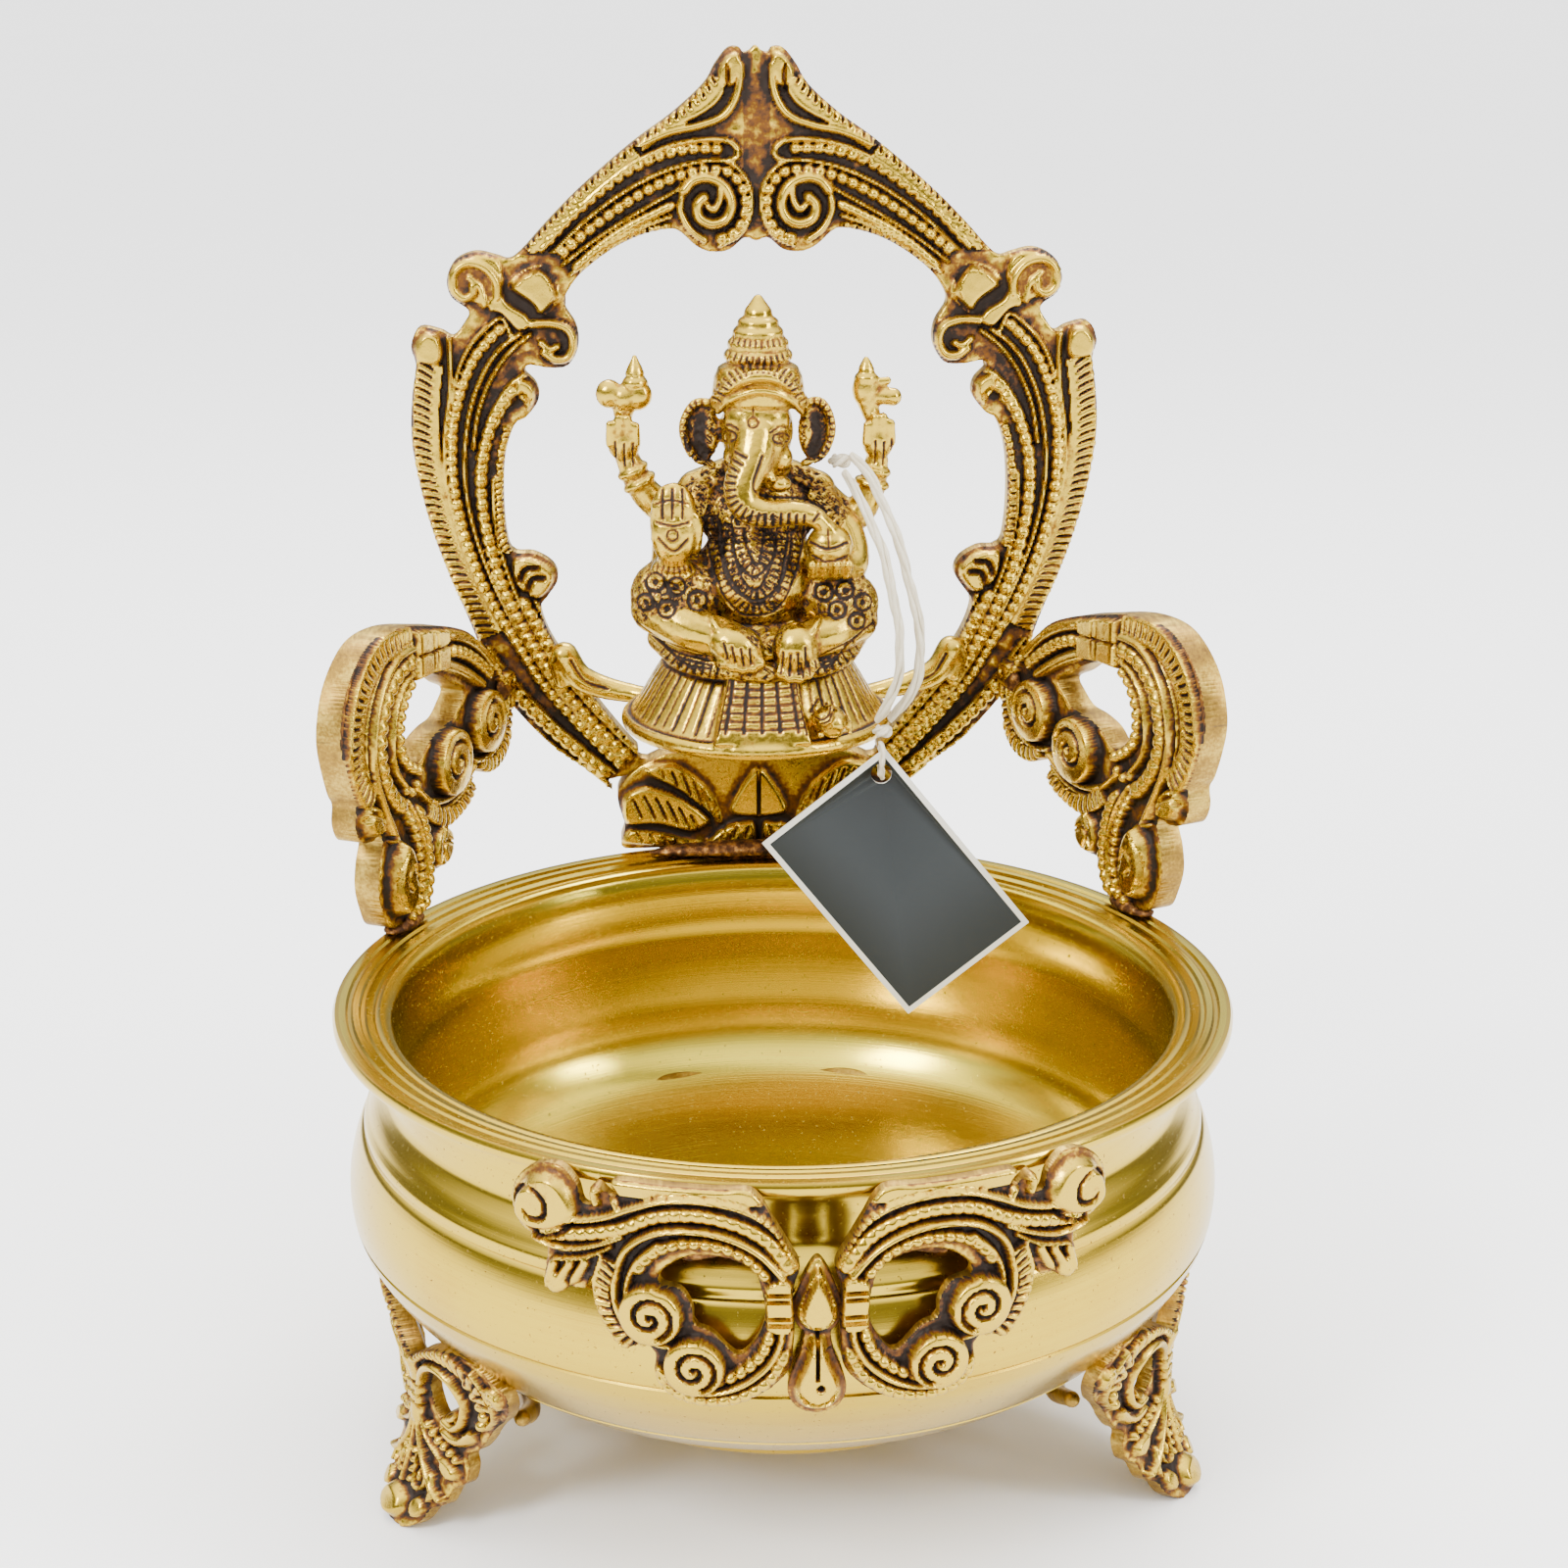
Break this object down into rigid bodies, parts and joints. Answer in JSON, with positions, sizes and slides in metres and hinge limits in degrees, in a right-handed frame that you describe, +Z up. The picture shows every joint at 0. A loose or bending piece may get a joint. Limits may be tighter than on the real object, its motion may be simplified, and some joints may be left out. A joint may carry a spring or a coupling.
{
  "type": "urli bowl",
  "caption": "Turned brass bowl on cast feet, with a cast arch and seated figure at the rear, scrolls at the sides, a front ornament and a hanging blank card.",
  "frame": {"origin": "centre of the footprint on the floor, on the bowl's axis", "axes": "+Z up along the bowl's axis, -Y towards the front ornament, the arch stands at +Y"},
  "size_m": [0.2056, 0.2102, 0.3065],
  "materials": {
    "brass_turned": "satin",
    "brass_cast": "satin",
    "braze": "matte",
    "card": "matte",
    "raffia": "matte"
  },
  "bodies": {
    "bowl": {"bowl_shell": "brass_turned", "base_ring": "brass_turned", "foot_left": "brass_cast", "foot_right": "brass_cast", "foot_rear": "brass_cast", "foot_strut_left": "brass_cast", "foot_strut_right": "brass_cast", "foot_strut_rear": "brass_cast", "front_drop": "brass_cast", "front_wing_left": "brass_cast", "front_wing_right": "brass_cast", "front_braze_left": "braze", "front_braze_right": "braze", "arch_frame": "brass_cast", "arch_foot": "brass_cast", "arch_braze": "braze", "side_scroll_left": "brass_cast", "side_scroll_right": "brass_cast", "scroll_rim_braze_left": "braze", "scroll_rim_braze_right": "braze", "scroll_arch_braze_left": "braze", "scroll_arch_braze_right": "braze", "pedestal": "brass_cast", "pedestal_mouse": "brass_cast", "seated_figure": "brass_cast", "figure_bracket_left": "brass_cast", "figure_bracket_right": "brass_cast", "raffia_front": "raffia", "raffia_back": "raffia", "raffia_loop": "raffia", "raffia_knot_tag": "raffia", "raffia_knot_shoulder": "raffia"},
    "tag": {"tag_card": "card"}
  },
  "joints": [
    {"name": "tag_swing", "type": "hinge", "parent": "bowl", "child": "tag", "pos_m": [0.0262, 0.0436, 0.1424], "axis": [0, 1, 0], "range_deg": [-6, 26]}
  ]
}
